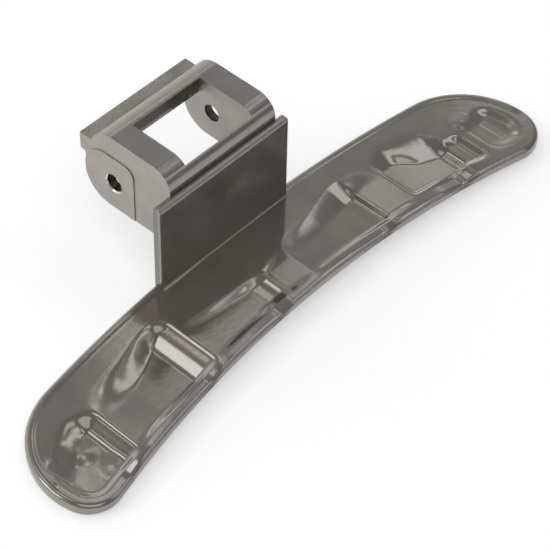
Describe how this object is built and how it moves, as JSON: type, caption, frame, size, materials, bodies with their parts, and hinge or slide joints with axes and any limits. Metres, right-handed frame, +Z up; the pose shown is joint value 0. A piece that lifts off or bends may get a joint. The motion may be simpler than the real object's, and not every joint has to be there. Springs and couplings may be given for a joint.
{
  "type": "door handle lever",
  "caption": "One-piece cast metal lever: a long bowed grip with scooped upper face, an upright stop plate and a bored pivot frame behind it.",
  "frame": {"origin": "on the axis of the pivot bore, midway between the two ears", "axes": "+X along the bore and the grip, towards the grip's longer arm; +Y from the stop plate to the back of the pivot frame; +Z up"},
  "size_m": [0.174, 0.069, 0.0388],
  "materials": {
    "nickel": "polished dark nickel plate on a die casting, satin on the machined ear faces"
  },
  "bodies": {
    "root": {"handle_lever": "nickel"}
  },
  "joints": []
}
